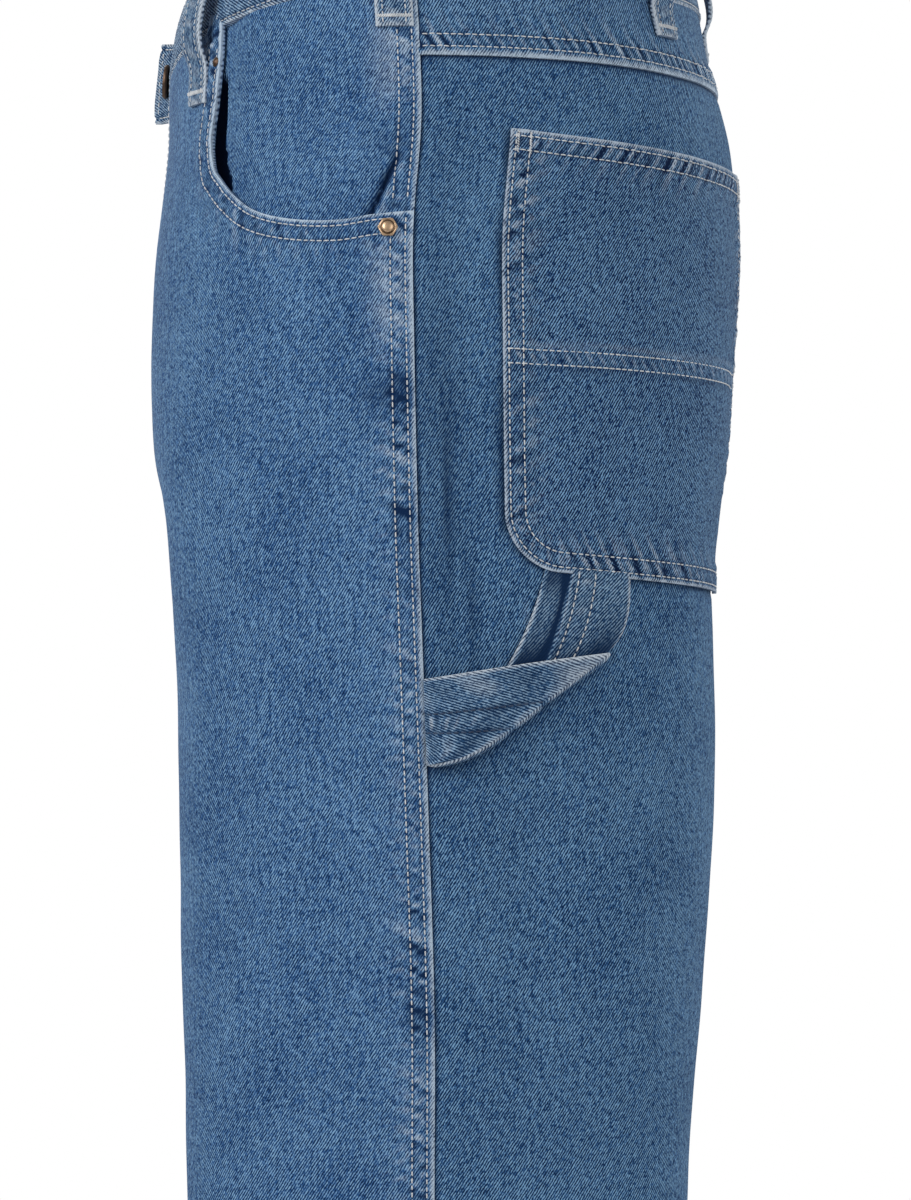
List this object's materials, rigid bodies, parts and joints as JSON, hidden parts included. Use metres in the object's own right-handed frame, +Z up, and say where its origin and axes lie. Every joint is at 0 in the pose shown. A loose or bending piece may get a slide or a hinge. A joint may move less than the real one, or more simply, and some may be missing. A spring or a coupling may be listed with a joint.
{
  "type": "work jeans",
  "caption": "Hollow straight work jeans in denim, worn shape, with scoop front pockets, patch back pockets, belt loops and a hammer loop on the left leg",
  "frame": {"origin": "middle of the waist opening, level with the top of the waistband at the side seams", "axes": "+Z up along the body, -Y to the front, +X to the wearer's left; metres"},
  "size_m": [0.3916, 0.283, 1.0714],
  "materials": {
    "denim": "stonewashed indigo denim, three-one right hand twill, faded to whitish blue on the seams",
    "denim_light": "the same denim, more faded on the waistband and loops",
    "copper": "copper-plated, lightly tarnished",
    "antique_brass": "antique brass, rubbed bright on the dome"
  },
  "bodies": {
    "root": {"waistband": "denim_light", "front_left": "denim", "front_right": "denim", "back_left": "denim", "back_right": "denim", "yoke_left": "denim", "yoke_right": "denim", "hip_facing_left": "denim", "hip_facing_right": "denim", "back_pocket_left": "denim", "back_pocket_right": "denim", "fly_shield": "denim", "hammer_loop": "denim_light", "belt_loop_front_left": "denim_light", "belt_loop_front_right": "denim_light", "belt_loop_side_left": "denim_light", "belt_loop_side_right": "denim_light", "belt_loop_back_left": "denim_light", "belt_loop_back_right": "denim_light", "belt_loop_centre_back": "denim_light", "waist_button": "copper", "rivet_side_left": "antique_brass", "rivet_side_right": "antique_brass", "rivet_front_left": "copper", "rivet_front_right": "copper"}
  },
  "joints": []
}
